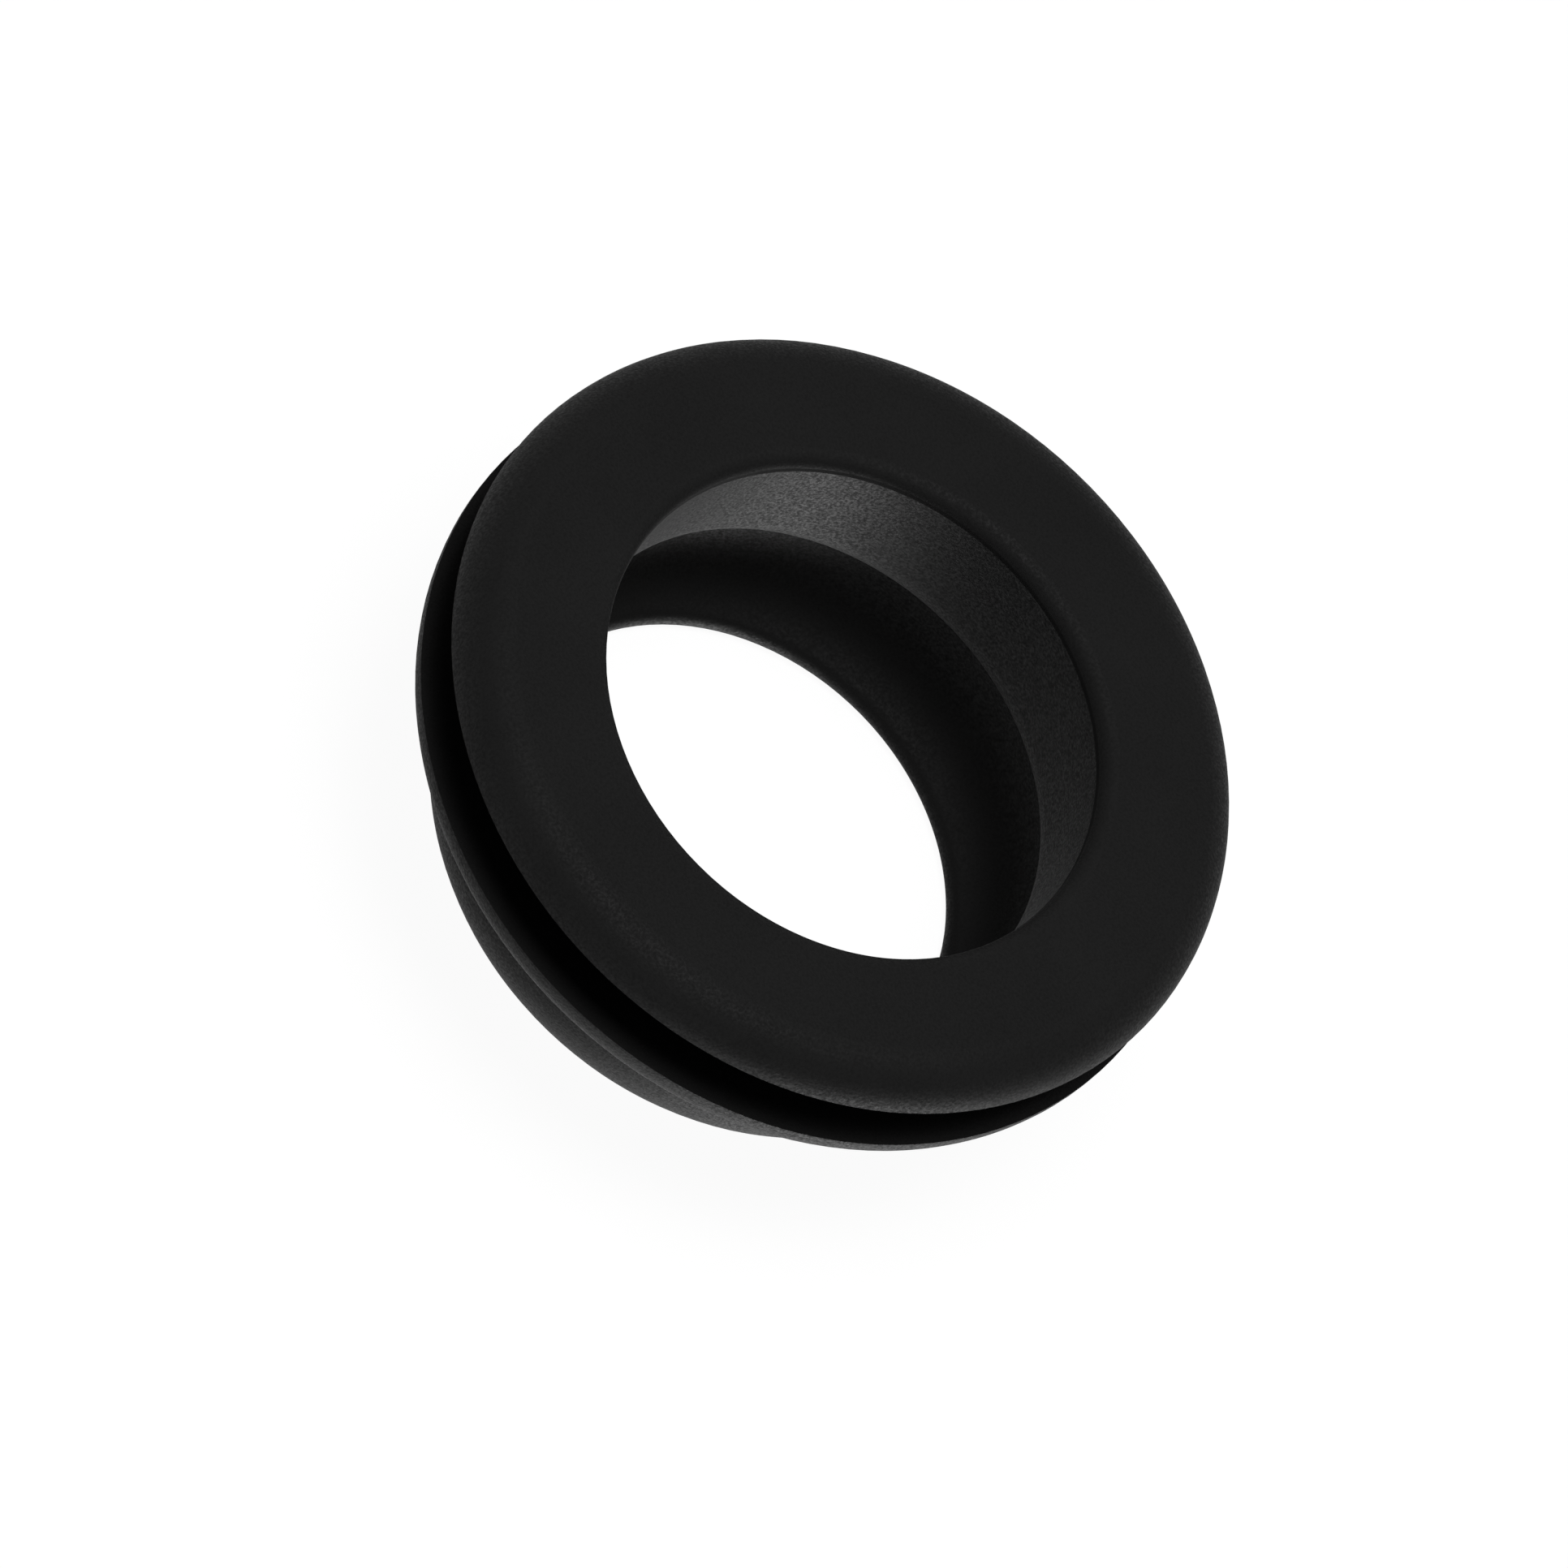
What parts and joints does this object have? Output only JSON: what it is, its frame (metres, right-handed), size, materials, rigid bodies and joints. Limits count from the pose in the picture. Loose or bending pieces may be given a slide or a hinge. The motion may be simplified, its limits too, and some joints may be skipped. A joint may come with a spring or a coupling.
{
  "type": "rubber grommet",
  "caption": "Round black rubber panel grommet with a wide front flange, panel groove, plain bore and a hollow domed skirt ending in a rolled lip.",
  "frame": {"origin": "on the axis, in the plane of the skirt's rearmost rim, on which the grommet stands", "axes": "+Z along the axis towards the front face; X and Y are any two radial directions"},
  "size_m": [0.04, 0.04, 0.0165],
  "materials": {
    "rubber": "satin"
  },
  "bodies": {
    "root": {"grommet": "rubber"}
  },
  "joints": []
}
